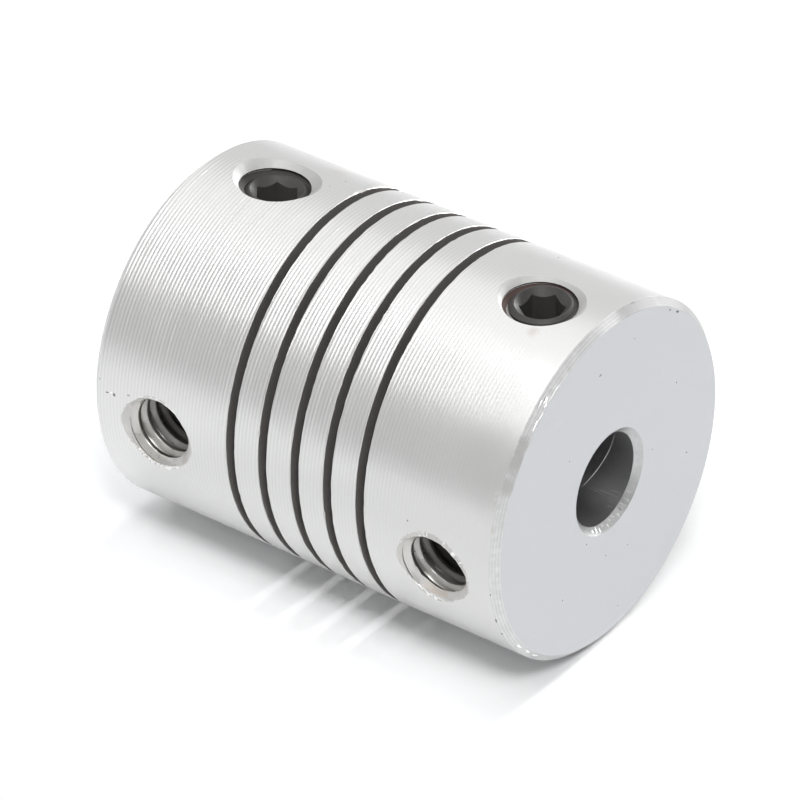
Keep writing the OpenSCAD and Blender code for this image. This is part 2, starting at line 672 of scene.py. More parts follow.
LIPS = (
    TornLip(HOLES["upper_2"], -22, -180, 0.17, 0.2, 0.1, 21),
    TornLip(HOLES["upper_2"], 15, 75, 0.03, 0.09, 0.05, 22),
    TornLip(HOLES["upper_2"], 30, 120, 0.05, 0.06, 0.07, 27, True),
    TornLip(HOLES["lower_2"], 8, 60, 0.03, 0.08, 0.06, 23),
    TornLip(HOLES["lower_2"], 25, 140, 0.06, 0.08, 0.08, 26, True),
    TornLip(HOLES["lower_2"], -55, -125, 0.03, 0.06, 0.04, 24),
)
BURRS = (
    Mark.on_outside(21.4, 24.4, (0.2, 0.15, 0.035), 30),
    Mark.on_outside(22.9, 24.47, (0.14, 0.12, 0.03), -20),
)
OUTSIDE_DENTS = (
    (24.9, 24.6, (0.3, 0.09, 0.08), 0, Zone.COUNTERSINK),
    (32.0, 24.62, (0.42, 0.09, 0.09), 3, Zone.THREAD),
    (54.7, 24.62, (0.12, 0.06, 0.06)),
    (66.3, 24.6, (0.2, 0.07, 0.08)),
    (73.4, 24.6, (0.16, 0.06, 0.07), 20),
    (-54.5, 6.58, (0.09, 0.045, 0.04), 40),
    (-62.0, 6.65, (0.07, 0.04, 0.04)),
    (-70.6, 18.8, (0.12, 0.04, 0.04), 10),
    (40.4, 19.7, (0.065, 0.06, 0.04)),
    (40.7, 1.0, (0.05, 0.13, 0.05), 10),
    (40.5, 1.45, (0.1, 0.12, 0.06), 40),
    (40.2, 1.25, (0.05, 0.1, 0.05), 20, Zone.NICK),
    (41.3, 1.5, (0.05, 0.09, 0.05), 30, Zone.NICK),
    (38.7, 2.35, (0.08, 0.09, 0.04), 40),
    (42.05, 2.25, (0.05, 0.05, 0.035)),
    (43.9, 2.05, (0.05, 0.04, 0.03)),
    (37.2, 0.5, (0.05, 0.05, 0.03)),
    (37.0, 8.78, (0.05, 0.3, 0.04), 10),
    (-59.4, 7.92, (0.75, 0.1, 0.16), -4),
)
CHAMFER_SCRATCHES = (
    (-2.0, 0.75, (0.4, 0.025, 0.02), 0.04),
    (-5.6, 0.9, (0.45, 0.03, 0.025), -0.05),
    (-9.4, 0.7, (0.3, 0.05, 0.03), 0.25, Zone.COUNTERSINK),
    (-10.2, 0.45, (0.22, 0.04, 0.03), 0.4, Zone.SLIT),
    (-13.2, 0.85, (0.4, 0.03, 0.025), 0.05),
    (-17.4, 0.9, (0.5, 0.025, 0.02)),
    (-8.4, 0.25, (0.18, 0.04, 0.03), 0.5, Zone.THREAD),
    (-58.0, 0.1, (0.3, 0.03, 0.025)),
    (-31.0, 0.15, (0.5, 0.03, 0.025), 0.05),
    (84.0, 0.6, (0.35, 0.12, 0.07), 0.1, Zone.NICK),
    (90.0, 0.7, (0.3, 0.14, 0.08), -0.15, Zone.NICK),
    (95.5, 0.6, (0.33, 0.1, 0.07), 0.1, Zone.NICK),
)
END_DENTS = (
    (5.52, -4.10, (0.14, 0.06, 0.04), 60),
    (-1.93, -5.98, (0.07, 0.055, 0.04)),
    (-6.06, -3.37, (0.08, 0.05, 0.04), 30),
    (4.67, 0.25, (0.06, 0.04, 0.03)),
    (-2.62, -2.53, (0.055, 0.04, 0.03)),
    (-0.55, 3.24, (0.07, 0.05, 0.03), 70),
    (-2.86, 3.2, (0.07, 0.04, 0.03), 20),
    (-4.49, 2.15, (0.05, 0.045, 0.03)),
    (-0.76, 6.22, (0.06, 0.05, 0.04)),
    (-6.29, 5.0, (0.06, 0.04, 0.03)),
    (1.13, -8.9, (0.18, 0.08, 0.05), 10),
    (1.9, -8.75, (0.12, 0.05, 0.04), 15),
    (1.05, 9.16, (0.25, 0.07, 0.06), -6, Zone.NICK),
    (0.1, 9.18, (0.22, 0.06, 0.07), 2, Zone.NICK),
    (-0.85, 9.14, (0.26, 0.07, 0.06), 5, Zone.NICK),
)
BORE_SCRATCHES = (
    (172.2, 23.7, (0.85, 0.022, 0.02), 0.02),
    (169.2, 23.2, (0.5, 0.018, 0.015), -0.03),
    (177.5, 24.15, (0.35, 0.02, 0.02), 0.1),
    (164.5, 24.2, (0.3, 0.025, 0.02), -0.1),
    (158.0, 24.3, (0.22, 0.025, 0.02), 0.2),
)
MOUTH_NOTCHES = (
    (110, 0.14, 0.1),
    (117, 0.2, -0.2),
    (123, 0.22, 0.0),
    (130, 0.19, 0.3),
    (137, 0.24, -0.1),
    (143, 0.18, 0.1),
    (149, 0.22, 0.2),
    (156, 0.24, -0.3),
    (162, 0.2, 0.0),
    (168, 0.23, 0.25),
    (175, 0.24, -0.2),
    (183, 0.17, 0.1),
)
DENTS = (
    *starmap(Mark.on_outside, OUTSIDE_DENTS),
    *starmap(Mark.on_chamfer, CHAMFER_SCRATCHES),
    *starmap(Mark.on_end, END_DENTS),
    *starmap(Mark.in_bore, BORE_SCRATCHES),
    *starmap(Mark.on_mouth, MOUTH_NOTCHES),
)


# The coupling


def dressed(
    work: bpy.types.Object, materials: Iterable[bpy.types.Material], zone: np.ndarray | None = None
) -> bpy.types.Object:
    """Gives a cut piece its materials and scales it to metres.

    Args:
        work: The piece, in millimetres.
        materials: Its materials.
        zone: The number of each face's material, or None where there is one.

    Returns:
        The same piece, in metres.
    """
    mesh = work.data
    mesh.materials.clear()
    for material in materials:
        mesh.materials.append(material)
    if zone is not None:
        mesh.polygons.foreach_set("material_index", zone.astype(np.int32))
    mesh.transform(Matrix.Scale(MM, 4))
    mesh.update()
    return work


@dataclass
class CouplingBody:
    """Both hubs and the helical beam between them, cut from one bar."""

    name: str = "coupling_body"
    radius: float = BODY_RADIUS
    length: float = BODY_LENGTH
    chamfer: float = END_CHAMFER
    chamfer_ridges: int = 4
    ridge_height: float = 0.004
    bore_radius: float = BORE_RADIUS
    bore_chamfer: float = BORE_CHAMFER
    hub_length: float = 6.9
    slit_pitch: float = 2.0
    slit_width: float = 0.5
    slit_turns: float = 5.0
    slit_angle: float = -9.0
    slit_edge: float = 0.028
    slit_step: float = 2.0
    sink_lip: float = 0.05
    sink_lip_slope: float = 20.0
    segments: int = 288
    hole_segments: int = 64
    rim_segments: int = 96
    square_on: float = 0.97
    thread: ThreadForm = field(default_factory=lambda: ThreadForm(THREAD_PITCH, 1.65, HOLE_RADIUS))

    def outer_corner(self) -> Profile:
        """Returns radius and depth below the end face of each corner of the ridged outer chamfer."""
        steps = 2 * self.chamfer_ridges
        corner = []
        for i in range(steps + 1):
            share = i / steps
            lift = self.ridge_height * (1 if i % 2 else -1) * (0 < i < steps) * math.sqrt(0.5)
            corner.append((self.radius - self.chamfer * share + lift, self.chamfer * (1 - share) - lift))
        return corner

    def blank(self) -> SolidMesh:
        """Returns the turned blank, with its bore and both chamfers on each end."""
        inner = self.bore_radius + self.bore_chamfer
        corner = self.outer_corner()
        outline = [
            (inner, 0.0),
            *reversed(corner),
            *((r, self.length - depth) for r, depth in corner),
            (inner, self.length),
            (self.bore_radius, self.length - self.bore_chamfer),
            (self.bore_radius, self.bore_chamfer),
        ]
        return turned_ring(outline, self.segments)

    def slit_edges(self, count: int) -> np.ndarray:
        """Works out the width of the broken edges of the slit.

        Args:
            count: Sections along the slit.

        Returns:
            Rows for the lower and the upper edge.
        """
        dice = np.random.default_rng(5)
        unevenness, nick_share, nick_size, least, most = 0.35, 0.035, 0.05, 0.008, 0.09
        edge = self.slit_edge * (1 + unevenness * dice.standard_normal((2, count)))
        nicks = dice.random((2, count)) < nick_share
        return np.clip(edge + nicks * dice.random((2, count)) * nick_size, least, most)

    def slit(self) -> SolidMesh:
        """Returns the helical slit, with a fine broken edge where it meets the outside."""
        total = self.slit_turns * 360
        count = round(total / self.slit_step)
        edge = self.slit_edges(count + 1)
        reach, inside, half = 0.6, self.bore_radius / 2, self.slit_width / 2
        points = []
        for i in range(count + 1):
            turned = i * self.slit_step - total / 2
            a = math.radians(self.slit_angle + turned)
            z = self.length / 2 + self.slit_pitch * turned / 360
            low, high = (float(value) for value in edge[:, i])
            corners = [
                (inside, -half),
                (self.radius - low, -half),
                (self.radius + reach, -half - low - reach),
                (self.radius + reach, half + high + reach),
                (self.radius - high, half),
                (inside, half),
            ]
            points += [(r * math.cos(a), r * math.sin(a), z + dz) for r, dz in corners]
        faces: Faces = []
        for i in range(count):
            here, there = 6 * i, 6 * (i + 1)
            for j in range(6):
                k = (j + 1) % 6
                faces.append((here + j, here + k, there + k, there + j))
        last = 6 * count
        faces += [(5, 4, 1, 0), (4, 3, 2, 1)]
        faces += [(last, last + 1, last + 4, last + 5), (last + 1, last + 2, last + 3, last + 4)]
        return SolidMesh(np.array(points), faces).outward()

    def tap(self, hole: ScrewHole) -> SolidMesh:
        """Returns the thread that is cut in one hole.

        Args:
            hole: The hole.

        Returns:
            The threaded rod, in its place.
        """
        past = 1.4
        length = self.radius + past - TAP_START
        rod = self.thread.rod(TAP_START - THREAD_PITCH, length, self.hole_segments)
        return rod.moved(hole.thread_placement())

    def countersink(self, hole: ScrewHole) -> SolidMesh:
        """Returns the cone that opens the mouth of one hole.

        Args:
            hole: The hole.

        Returns:
            The cone, in its place.
        """
        knots = np.random.default_rng(hole.seed).standard_normal(self.rim_segments)
        smooth = (np.roll(knots, 1) + 2 * knots + np.roll(knots, -1)) / 4
        overlap, top = 0.02, 1.2
        inner = self.thread.root - overlap
        depth = hole.sink / 2 + self.thread.crest - inner
        flare = 1 / math.tan(math.radians(self.sink_lip_slope))
        lip = inner + depth - self.sink_lip
        outline = [
            (0.0, self.radius - depth),
            (inner, self.radius - depth),
            (lip, self.radius - self.sink_lip),
            (lip + (self.sink_lip + top) * flare, self.radius + top),
            (0.0, self.radius + top),
        ]
        return turned_plug(outline, self.rim_segments, smooth * hole.raggedness).moved(hole.placement())

    def hole_zones(self, centre: np.ndarray, normal: np.ndarray, zone: np.ndarray) -> None:
        """Marks the faces of the threads and countersinks.

        Args:
            centre: The middle of each face.
            normal: The normal of each face.
            zone: The zone number of each face, which is changed.
        """
        r = np.hypot(centre[:, 0], centre[:, 1])
        from_end = np.minimum(centre[:, 2], self.length - centre[:, 2])
        near, start, sink_depth = 2.9, 1.0, 0.33
        cone, lip = (0.62, 0.8), (0.91, 0.97)
        wall = (from_end < self.hub_length) & (r < self.radius - 0.0005) & (r > self.bore_radius + 0.01)
        for hole in HOLES.values():
            x, y, along = hole.local(centre).T
            inside = wall & (along > start) & (np.hypot(x, y) < near)
            edge = along > self.radius - hole.sink / 2 - sink_depth - 0.1 * hole.raggedness
            slope = normal @ np.array(hole.placement())[:3, 2]
            sloped = [(slope > low) & (slope < high) for low, high in (cone, lip)]
            zone[inside] = Zone.THREAD.value
            zone[inside & edge & (sloped[0] | sloped[1])] = Zone.COUNTERSINK.value

    def zones(self, mesh: bpy.types.Mesh) -> np.ndarray:
        """Sorts the faces of the cut body by the kind of surface that they belong to.

        Args:
            mesh: The cut body, in millimetres.

        Returns:
            The zone number of each face.
        """
        centre, normal = (values_of(mesh.polygons, name) for name in ("center", "normal"))
        r = np.hypot(centre[:, 0], centre[:, 1])
        outwards = (centre[:, 0] * normal[:, 0] + centre[:, 1] * normal[:, 1]) / np.maximum(r, 1e-6)
        from_end = np.minimum(centre[:, 2], self.length - centre[:, 2])
        flat = np.abs(normal[:, 2])
        zone = np.full(len(centre), Zone.SLIT.value)
        self.hole_zones(centre, normal, zone)
        close, skin, level, sloped, edge_depth = 0.002, 0.004, 0.99, 0.3, 0.12
        zone[(r > self.radius - skin) & (outwards > self.square_on)] = Zone.OUTSIDE.value
        zone[(r < self.bore_radius + skin) & (outwards < -self.square_on)] = Zone.BORE.value
        ends = from_end < close
        zone[ends & (flat > level)] = Zone.END_FACE.value
        rim = (from_end < self.chamfer) & (r > self.radius - self.chamfer - 0.02)
        zone[rim & ~ends & (outwards > sloped) & (flat > 0.2)] = Zone.END_CHAMFER.value
        mouth = (from_end < self.bore_chamfer) & (r < self.bore_radius + self.bore_chamfer)
        zone[mouth & ~ends & (outwards < -sloped) & (flat > sloped)] = Zone.BORE_CHAMFER.value
        broken = (r > self.radius - edge_depth) & (outwards > 0.4) & (outwards < self.square_on)
        raised = r > self.radius + close
        ridge = (r < self.bore_radius - 0.001) & (from_end > self.bore_chamfer)
        zone[(broken & (from_end > self.hub_length)) | raised] = Zone.COUNTERSINK.value
        zone[ridge | (raised & (outwards < 0.88))] = Zone.NICK.value
        made = np.isin(zone, (Zone.SLIT.value, Zone.THREAD.value))
        for mark in DENTS:
            near = np.linalg.norm(centre - np.array(mark.at), axis=1) < max(mark.size)
            facing = normal @ np.array(mark.out.normalized())
            zone[near & made & (facing > 0.05)] = mark.zone.value
        return zone

    def true_normals(self, mesh: bpy.types.Mesh, zone: np.ndarray) -> None:
        """Gives the turned, bored and slit surfaces the normals of their true form.

        Args:
            mesh: The cut body, in millimetres.
            zone: The zone number of each face.
        """
        corners = smoothed_corners(mesh)
        owner = np.repeat(np.arange(len(zone)), values_of(mesh.polygons, "loop_total", 1))
        at = values_of(mesh.vertices, "co")[values_of(mesh.loops, "vertex_index", 1)]
        kind, facing = zone[owner], values_of(mesh.polygons, "normal")[owner]
        r = np.maximum(np.hypot(at[:, 0], at[:, 1]), 1e-6)
        none = np.zeros(len(r))
        radial = np.stack([at[:, 0] / r, at[:, 1] / r, none], 1)
        axial = np.stack([none, none, np.sign(at[:, 2] - self.length / 2)], 1)
        lead = self.slit_pitch / (2 * math.pi)
        wall = np.stack([lead * radial[:, 1], -lead * radial[:, 0], r], 1)
        wall *= (np.sign(facing[:, 2]) / np.linalg.norm(wall, axis=1))[:, None]
        for name, true in (
            (Zone.OUTSIDE, radial),
            (Zone.BORE, -radial),
            (Zone.END_FACE, axial),
            (Zone.BORE_CHAMFER, (axial - radial) * math.sqrt(0.5)),
            (Zone.SLIT, wall),
        ):
            chosen = kind == name.value
            if name in (Zone.SLIT, Zone.BORE_CHAMFER):
                chosen &= (facing * true).sum(1) > self.square_on
            corners[chosen] = true[chosen]
        mesh.normals_split_custom_set(corners.tolist())

    def build(self, finishes: dict[Zone, bpy.types.Material]) -> bpy.types.Object:
        """Cuts the body, sorts its surfaces and gives each its finish.

        Args:
            finishes: The material of each zone.

        Returns:
            The finished body, in metres.
        """
        work = self.blank().as_object(self.name + "_visual")
        cut(work, self.slit())
        for hole in HOLES.values():
            cut(work, self.tap(hole))
            cut(work, self.countersink(hole))
        burrs, dents = (joined(mark.spindle() for mark in marks) for marks in (BURRS, DENTS))
        for added in (burrs, *(lip.mesh() for lip in LIPS), BoringRidge().mesh()):
            cut(work, added, CutKind.WITH)
        cut(work, dents)
        zone = self.zones(work.data)
        self.true_normals(work.data, zone)
        return dressed(work, (finishes[name] for name in Zone), zone)


@dataclass
class SetScrew:
    """A hexagon socket set screw with a cup point, in its hole.

    Attributes:
        name: The screw's node.
        hole: The hole that it is in.
        face: Distance from the shaft axis to its outer face.
        spin: Turn of its hexagon, in degrees.
    """

    name: str
    hole: ScrewHole
    face: float
    spin: float
    length: float = 4.0
    shank: float = 1.95
    face_radius: float = 1.45
    edge_break: float = 0.035
    key_flats: float = 2.0
    socket_depth: float = 1.8
    mouth: float = 1.38
    drill_share: float = 0.475
    cup: float = 1.0
    cup_angle: float = 31.0
    segments: int = 64
    thread: ThreadForm = field(default_factory=lambda: ThreadForm(THREAD_PITCH, 1.60, 1.95, 0.136))

    def outline(self) -> Profile:
        """Returns the blank's outline, from its tip at height 0 to its face."""
        side = self.shank - self.face_radius
        b = self.edge_break
        return [
            (0.0, self.cup * math.tan(math.radians(self.cup_angle))),
            (self.cup - 0.02, 0.02),
            (self.cup + 0.02, 0.015),
            (self.shank, self.shank - self.cup),
            (self.shank, self.length - side),
            (self.face_radius + b * 0.7, self.length - b * 0.7),
            (self.face_radius + b * 0.1, self.length - b * 0.15),
            (self.face_radius - b * 0.6, self.length),
            (0.0, self.length),
        ]

    def build(self, finish: bpy.types.Material) -> bpy.types.Object:
        """Cuts the screw and dresses it.

        Args:
            finish: The screw's material.

        Returns:
            The finished screw, in metres.
        """
        seat = self.hole.placement() @ Matrix.Translation((0, 0, self.face - self.length))
        seat = seat @ Matrix.Rotation(math.radians(self.spin), 4, "Z")
        past = 1.2
        rod = self.thread.rod(TAP_START - THREAD_PITCH, self.face + past - TAP_START, self.segments)
        work = rod.moved(self.hole.thread_placement()).as_object(self.name + "_visual")
        cut(work, turned_plug(self.outline(), self.segments).moved(seat), CutKind.SHARED)
        corner = self.key_flats / 2 / math.cos(math.radians(30))
        deep, open_end = self.length - self.socket_depth, self.length + 1
        drill = self.key_flats * self.drill_share
        hexagon = [(0, deep), (corner, deep), (corner, open_end), (0, open_end)]
        funnel = [(0, self.length - self.mouth), (self.mouth + 1, open_end), (0, open_end)]
        drilled = [(0, deep - drill / 2), (drill + 0.1, deep + 0.05), (0, deep + 0.05)]
        for outline, sides in ((hexagon, 6), (funnel, self.segments), (drilled, self.segments)):
            cut(work, turned_plug(outline, sides).moved(seat))
        work.data.normals_split_custom_set(smoothed_corners(work.data).tolist())
        return dressed(work, (finish,))


# Finishes


class Graph:
    """Short ways to add nodes and links to one node tree."""

    def __init__(self, tree: bpy.types.NodeTree) -> None:
        """Clears a tree and keeps it."""
        self.tree = tree
        tree.nodes.clear()

    def node(self, kind: str, **settings: object) -> bpy.types.Node:
        """Adds a node.

        Args:
            kind: The node's type name.
            **settings: Properties to set on it.

        Returns:
            The node.
        """
        made = self.tree.nodes.new(kind)
        for key, value in settings.items():
            setattr(made, key, value)
        return made

    def feed(self, socket: Socket, value: object) -> None:
        """Links a socket to an input, or sets the input's value.

        Args:
            socket: The input.
            value: An output socket, a number or a tuple.
        """
        if isinstance(value, bpy.types.NodeSocket):
            self.tree.links.new(value, socket)
        else:
            socket.default_value = value

    def fill(self, made: bpy.types.Node, *values: object, output: int | str = 0) -> Socket:
        """Feeds a node's inputs in their order.

        Args:
            made: The node.
            *values: Sockets or values for its inputs.
            output: Which output is wanted.

        Returns:
            The output.
        """
        for socket, value in zip(made.inputs, values):
            self.feed(socket, value)
        return made.outputs[output]

    def math(self, operation: str, *values: object, clamp: bool = False) -> Socket:
        """Adds a Math node and returns its output."""
        return self.fill(self.node("ShaderNodeMath", operation=operation, use_clamp=clamp), *values)

    def add(self, first: object, second: object) -> Socket:
        """Returns the sum of two values."""
        return self.math("ADD", first, second)

    def sub(self, first: object, second: object) -> Socket:
        """Returns the first value less the second."""
        return self.math("SUBTRACT", first, second)

    def mul(self, first: object, second: object) -> Socket:
        """Returns the product of two values."""
        return self.math("MULTIPLY", first, second)

    def div(self, first: object, second: object) -> Socket:
        """Returns the first value divided by the second."""
        return self.math("DIVIDE", first, second)

    def mul_add(self, value: object, factor: object, offset: object) -> Socket:
        """Returns a value times a factor, plus an offset."""
        return self.math("MULTIPLY_ADD", value, factor, offset)

    def vector(self, operation: str, *values: object) -> Socket:
        """Adds a Vector Math node and returns its vector, or its value where that is the result."""
        output = "Value" if operation in ("DISTANCE", "DOT_PRODUCT") else "Vector"
        return self.fill(self.node("ShaderNodeVectorMath", operation=operation), *values, output=output)

    def remap(self, *values: object, change: str = "LINEAR") -> Socket:
        """Maps a value from between two limits to between two results, given in that order."""
        return self.fill(self.node("ShaderNodeMapRange", interpolation_type=change), *values)

    def ease(self, *values: object) -> Socket:
        """Maps a value as remap does, easing in and out."""
        return self.remap(*values, change="SMOOTHSTEP")

    def noise(self, where: object, scale: object, *layers: float) -> Socket:
        """Adds a noise texture.

        Args:
            where: Where it is read.
            scale: How many features there are to a unit.
            *layers: How many finer layers it has, how strong they are and how far it is twisted.

        Returns:
            The noise, around a half.
        """
        made = self.node("ShaderNodeTexNoise")
        names = ("Vector", "Scale", "Detail", "Roughness", "Distortion")
        for name, value in zip(names, (where, scale, *layers)):
            self.feed(made.inputs[name], value)
        return made.outputs[0]

    def blend(self, share: object, first: object, second: object) -> Socket:
        """Mixes two colours.

        Args:
            share: How much of the second shows.
            first: The colour at 0.
            second: The colour at 1.

        Returns:
            The mixed colour.
        """
        made = self.node("ShaderNodeMix", data_type="RGBA")
        for number, value in ((0, share), (6, first), (7, second)):
            self.feed(made.inputs[number], value)
        return made.outputs[2]

    def split(self, vector: object) -> tuple[Socket, ...]:
        """Returns the x, y and z of a vector."""
        made = self.node("ShaderNodeSeparateXYZ")
        self.feed(made.inputs[0], vector)
        return tuple(made.outputs)

    def combine(self, x: object, y: object, z: object) -> Socket:
        """Returns a vector made of three values."""
        return self.fill(self.node("ShaderNodeCombineXYZ"), x, y, z)


class Effect(Enum):
    """The effects that several finishes share, each a node group."""

    TURNING = "turning_lines"
    GRAIN = "fine_grain"
    PITS = "scattered_pits"
    SCRATCHES = "hair_scratches"
    STAIN = "round_stain"


class EffectShelf:
    """Builds each shared node group once and places it in materials."""

    FLOAT, VECTOR = "NodeSocketFloat", "NodeSocketVector"

    def __init__(self) -> None:
        """Starts with no group built."""
        self.built: dict[Effect, bpy.types.NodeTree] = {}

    def start(
        self, effect: Effect, outputs: Sequence[str], **inputs: object
    ) -> tuple[Graph, dict[str, Socket], dict[str, Socket]]:
        """Begins a node group that reads a position.

        Args:
            effect: The effect that it makes.
            outputs: Names of its outputs, all plain values.
            **inputs: First values of its other inputs, by name. A tuple makes a vector.

        Returns:
            The graph, the input sockets by name and the output sockets by name.
        """
        tree = bpy.data.node_groups.new(effect.value, "ShaderNodeTree")
        graph = Graph(tree)
        for name, value in {"Position": (0.0, 0.0, 0.0), **inputs}.items():
            kind = self.VECTOR if isinstance(value, tuple) else self.FLOAT
            tree.interface.new_socket(name, in_out="INPUT", socket_type=kind).default_value = value
        for name in outputs:
            tree.interface.new_socket(name, in_out="OUTPUT", socket_type=self.FLOAT)
        entry, leave = graph.node("NodeGroupInput"), graph.node("NodeGroupOutput")
        self.built[effect] = tree
        return graph, {s.name: s for s in entry.outputs}, {s.name: s for s in leave.inputs}

    def turning_lines(self) -> None:
        """Fine lines that a turning tool leaves round the shaft axis, with painted shade in the bottom of
        each line and a painted highlight on its crest.
        """
        inputs = {"Pitch": 0.2, "Unevenness": 0.3, "Wander": 0.1, "Lower": 1.0, "Upper": 1.0, "Rubbed": 0.0}
        g, given, out = self.start(Effect.TURNING, ("Height", "PaintedShade"), **inputs)
        where = given["Position"]
        x, y, z = g.split(where)
        angle = g.div(g.math("ARCTAN2", y, x), 2 * math.pi)
        drift = g.mul(g.sub(g.noise(where, 0.35), 0.5), given["Wander"])
        feed = g.add(g.sub(g.div(z, given["Pitch"]), angle), drift)
        line = g.node("ShaderNodeTexWhiteNoise", noise_dimensions="1D")
        g.feed(line.inputs["W"], g.math("FLOOR", feed))
        own = g.mul_add(g.sub(line.outputs["Value"], 0.5), given["Unevenness"], 1.0)
        patches = g.noise(g.vector("MULTIPLY", where, (0.5, 0.5, 3.0)), 1.0)
        own = g.mul(own, g.remap(patches, 0.3, 0.7, 0.75, 1.25))
        low_end, high_end = 10.0, 24.0
        own = g.mul(own, g.ease(z, low_end, high_end, given["Lower"], given["Upper"]))
        # Towards the table the lines fade, and the tone there is painted darker as painted shade.
        table_side, held_side = (0.2, 0.083, 0.144), (-0.27, 0.125, 0.164)
        worn_and_shaded, held = (
            g.ease(g.math("ABSOLUTE", g.sub(angle, side)), near, far, given["Rubbed"], 0.0)
            for side, near, far in (table_side, held_side)
        )
        own = g.mul(own, g.sub(1.0, g.math("MAXIMUM", worn_and_shaded, held)))
        middle = g.mul_add(g.math("FRACT", feed), 2.0, -1.0)
        flat_top, valley_level, table_side_shade = 0.82, 0.45, 0.2
        bowl = g.math("MINIMUM", g.mul(middle, middle), flat_top)
        g.feed(out["Height"], g.mul(bowl, own))
        # Painted shade in the bottom of each line and a painted highlight on its crest.
        painted_groove_shading = g.sub(g.ease(g.math("ABSOLUTE", middle), 0.0, 0.9, 1.0, 0.0), valley_level)
        g.feed(out["PaintedShade"], g.mul_add(worn_and_shaded, table_side_shade, g.mul(painted_groove_shading, own)))

    def fine_grain(self) -> None:
        """Fine uneven grain, with the slow change of tone that handling leaves."""
        g, given, out = self.start(Effect.GRAIN, ("Height", "Tone", "Patches"), Size=0.1, Patch=3.0)
        where, coarser = given["Position"], 0.55
        scale = g.div(1.0, given["Size"])
        elsewhere = g.vector("ADD", where, (7.0, 3.0, 5.0))
        g.feed(out["Height"], g.noise(where, scale, 3.0, 0.6))
        g.feed(out["Tone"], g.noise(elsewhere, g.mul(scale, coarser), 2.0))
        g.feed(out["Patches"], g.noise(where, g.div(1.0, given["Patch"]), 3.0, 0.55, 0.3))

    def scattered_pits(self) -> None:
        """Small round pits and specks, scattered thinly."""
        g, given, out = self.start(Effect.PITS, ("Mask", "Depth"), Spacing=1.0, Share=0.3, Radius=0.05)
        where = g.vector("ADD", given["Position"], (11.3, 4.7, 2.9))
        cells = g.node("ShaderNodeTexVoronoi", feature="F1")
        g.feed(cells.inputs["Vector"], where)
        g.feed(cells.inputs["Scale"], g.div(1.0, given["Spacing"]))
        away = g.mul(cells.outputs["Distance"], given["Spacing"])
        chance, size, _ = g.split(cells.outputs["Color"])
        wobble = g.mul_add(g.noise(where, 14.0, 1.0), 0.8, 0.6)
        radius = g.mul(g.mul(given["Radius"], wobble), g.remap(size, 0.0, 1.0, 0.45, 1.2))
        shape = g.ease(away, g.mul(radius, 0.55), radius, 1.0, 0.0)
        mask = g.mul(shape, g.math("LESS_THAN", chance, given["Share"]))
        g.feed(out["Mask"], mask)
        g.feed(out["Depth"], g.mul(mask, g.remap(size, 0.0, 1.0, 0.4, 1.0)))

    def hair_scratches(self) -> None:
        """Thin scratches that run mostly one way across a flat face."""
        inputs = {"Turn": 0.5, "Length": 2.0, "Width": 0.03, "Share": 0.1}
        g, given, out = self.start(Effect.SCRATCHES, ("Mask",), **inputs)
        x, y, z = g.split(given["Position"])
        c, s = g.math("COSINE", given["Turn"]), g.math("SINE", given["Turn"])
        along = g.add(g.mul(x, c), g.mul(y, s))
        bend = g.mul(g.sub(g.noise(given["Position"], 0.25), 0.5), 0.9)
        across = g.div(g.add(g.sub(g.mul(y, c), g.mul(x, s)), bend), given["Width"])
        where = g.combine(g.div(along, given["Length"]), g.mul(across, 0.35), z)
        rarest, commoner, softness = 0.78, 0.3, 0.05
        low = g.sub(rarest, g.mul(given["Share"], commoner))
        g.feed(out["Mask"], g.ease(g.noise(where, 1.0, 1.0), low, g.add(low, softness), 0.0, 1.0))

    def round_stain(self) -> None:
        """A blotch with a ragged edge round one point, used for real stains and for painted shade."""
        inputs = {"Centre": (0.0, 0.0, 0.0), "Radius": 1.0, "Core": 0.35, "Raggedness": 0.5}
        g, given, out = self.start(Effect.STAIN, ("Mask",), **inputs)
        away = g.vector("DISTANCE", given["Position"], given["Centre"])
        wander = g.sub(g.noise(given["Position"], 3.0, 3.0, 0.6), 0.5)
        ragged = g.mul(g.mul(wander, given["Raggedness"]), 2.0)
        share = g.add(g.div(away, given["Radius"]), ragged)
        g.feed(out["Mask"], g.ease(share, given["Core"], 1.0, 1.0, 0.0))

    def place(self, graph: Graph, effect: Effect, where: Socket, **values: object) -> dict[str, Socket]:
        """Places one effect in a material.

        Args:
            graph: The material's graph.
            effect: The effect.
            where: The position that it reads.
            **values: Values or sockets for its other inputs, by name.

        Returns:
            Its outputs by name.
        """
        if effect not in self.built:
            getattr(self, effect.value)()
        made = graph.node("ShaderNodeGroup", node_tree=self.built[effect])
        for name, value in {"Position": where, **values}.items():
            graph.feed(made.inputs[name], value)
        return {socket.name: socket for socket in made.outputs}


SHELF = EffectShelf()


@dataclass(frozen=True)
class Turning:
    """How strongly turning lines show on a finish.

    Attributes:
        pitch: Distance from line to line, in millimetres.
        depth: Depth of a line, in millimetres.
        unevenness: How much one line differs from the next.
        shade: How strongly the painted shade shows: darker at the bottom of a line, lighter on its crest,
            and darker on the table's side.
        lower: How strong the lines are from the lower end to the middle, as a share.
        upper: How strong they are at the upper end, as a share.
        worn_and_shaded: How far they are worn away on the table's side and on the side where it is held; on
            the table's side it also paints shade, darker towards the table.
    """

    pitch: float
    depth: float
    unevenness: float
    shade: float
    lower: float = 1.0
    upper: float = 1.0
    worn_and_shaded: float = 0.0


@dataclass(frozen=True)
class Grain:
    """How strongly fine grain shows on a finish.

    Attributes:
        size: Size of a grain, in millimetres.
        depth: Depth of the grain, in millimetres.
        tone: How much the grain changes the colour.
        patch: Size of the slow patches, in millimetres.
        patch_tone: How much the patches change the colour.
        roughness: How much the grain and patches change the roughness.
    """

    size: float = 0.08
    depth: float = 0.001
    tone: float = 0.04
    patch: float = 3.0
    patch_tone: float = 0.03
    roughness: float = 0.08


